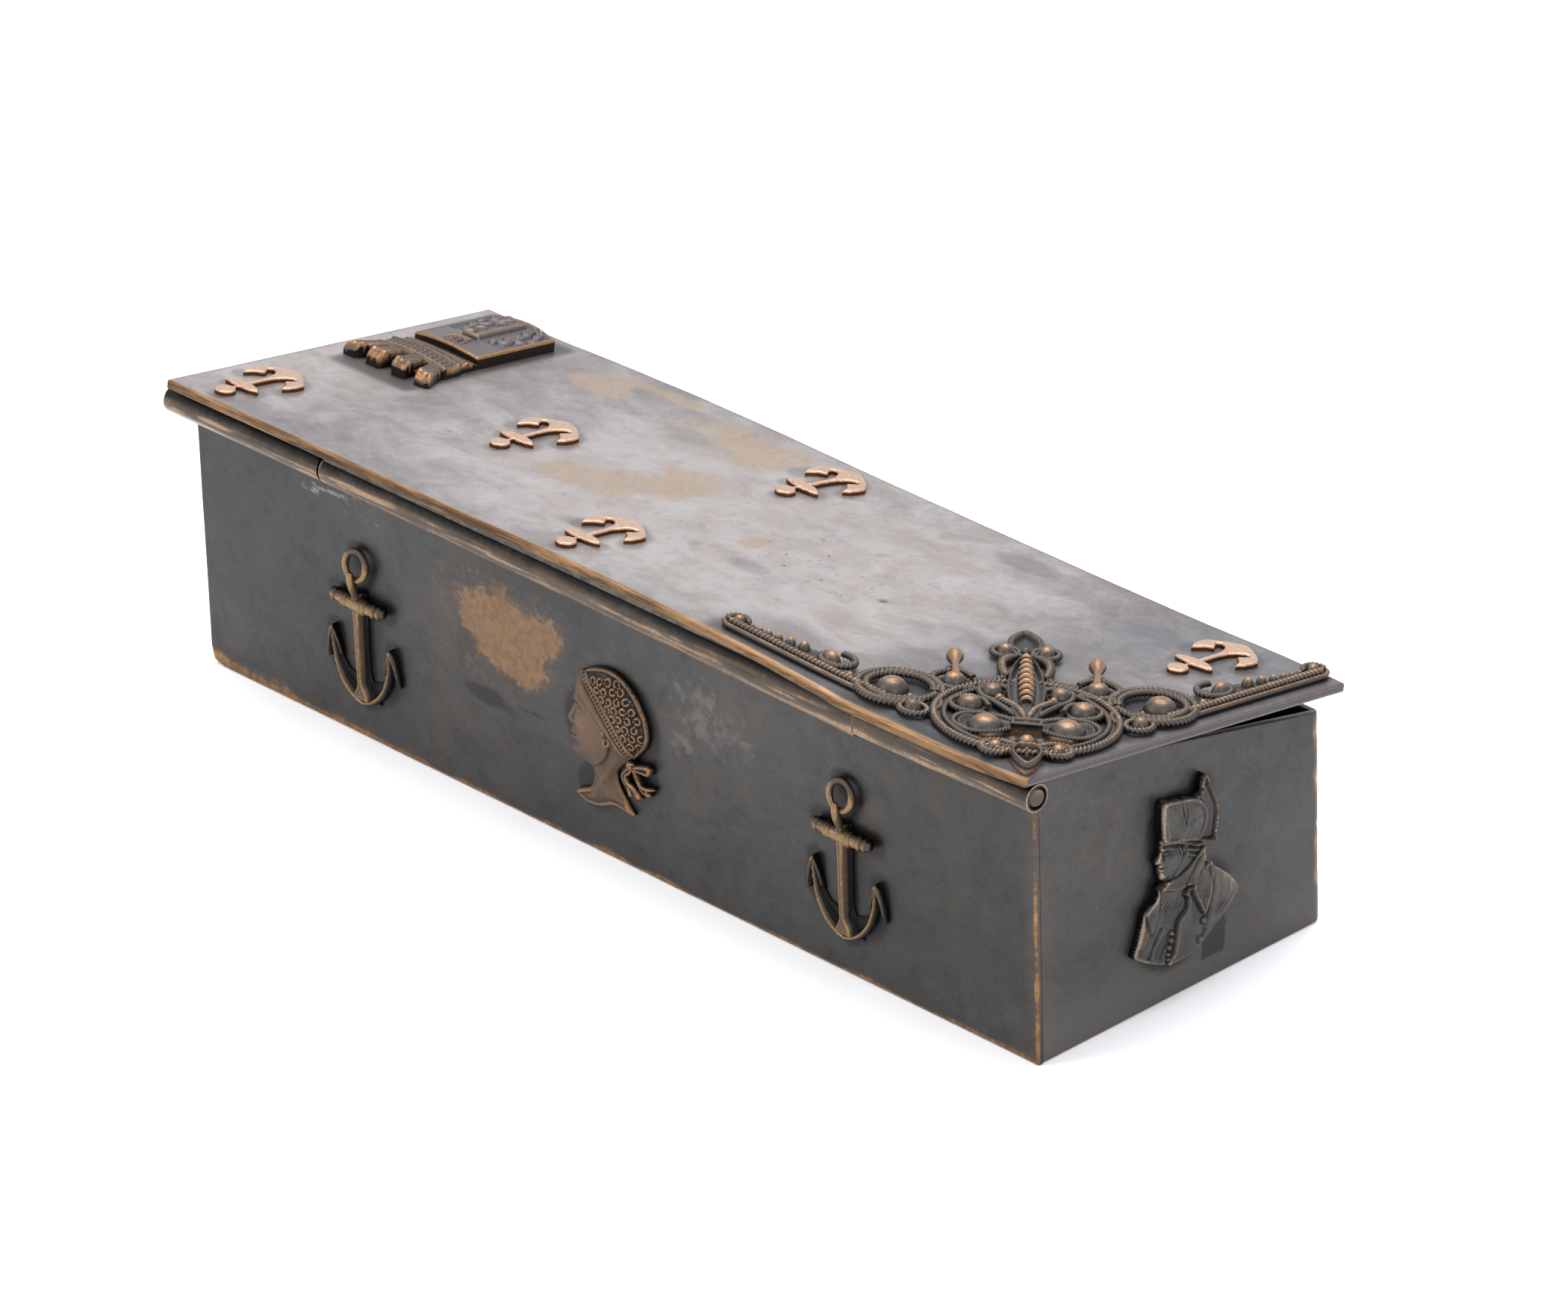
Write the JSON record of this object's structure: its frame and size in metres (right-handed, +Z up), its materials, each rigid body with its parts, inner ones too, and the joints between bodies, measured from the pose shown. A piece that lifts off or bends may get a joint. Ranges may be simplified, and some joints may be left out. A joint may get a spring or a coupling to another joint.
{
  "type": "ditty box",
  "caption": "Small sheet-metal keepsake box with a sloping hinged lid, applied anchors, a corner openwork stamping, relief portraits and a shield badge.",
  "frame": {"origin": "centre of the underside of the case, on the surface the box stands on", "axes": "+Z up; +X along the box to the right of a person facing the opening side; +Y towards the hinge side, so the lid opens from the -Y side"},
  "size_m": [0.1512, 0.0526, 0.0417],
  "materials": {
    "case_sheet": "dark brown-grey patina, satin",
    "lid_sheet": "grey patina worn to a bright haze, satin",
    "hinge_metal": "brown patina with rubbed copper streaks",
    "relief_metal": "cast copper alloy, dark in the hollows, rubbed bright on the ridges",
    "openwork_metal": "stamped openwork, dark with rubbed copper bead tops",
    "bright_copper": "bare pale copper, sawn from sheet, satin",
    "solder": "dull grey soft solder"
  },
  "bodies": {
    "case": {"floor_plate": "case_sheet", "back_wall": "case_sheet", "front_and_ends": "case_sheet", "inner_solder": "solder", "left_knuckle": "hinge_metal", "right_knuckle": "hinge_metal", "hinge_pin": "hinge_metal", "case_hinge_solder": "solder", "back_anchor_left": "relief_metal", "back_anchor_right": "relief_metal", "kerchief_head": "relief_metal", "officer_bust": "relief_metal"},
    "lid": {"lid_plate": "lid_sheet", "lid_knuckle": "hinge_metal", "lid_hinge_solder": "solder", "corner_filigree": "openwork_metal", "crown_badge": "relief_metal", "shield_badge": "relief_metal", "lid_anchor_rear_right": "bright_copper", "lid_anchor_rear_middle": "bright_copper", "lid_anchor_middle_right": "bright_copper", "lid_anchor_front_middle": "bright_copper", "lid_anchor_front_left": "bright_copper"}
  },
  "joints": [
    {"name": "lid_hinge", "type": "hinge", "parent": "case", "child": "lid", "pos_m": [0, 0.0259, 0.0371], "axis": [-1, 0, 0], "range_deg": [-3.75, 176]}
  ]
}
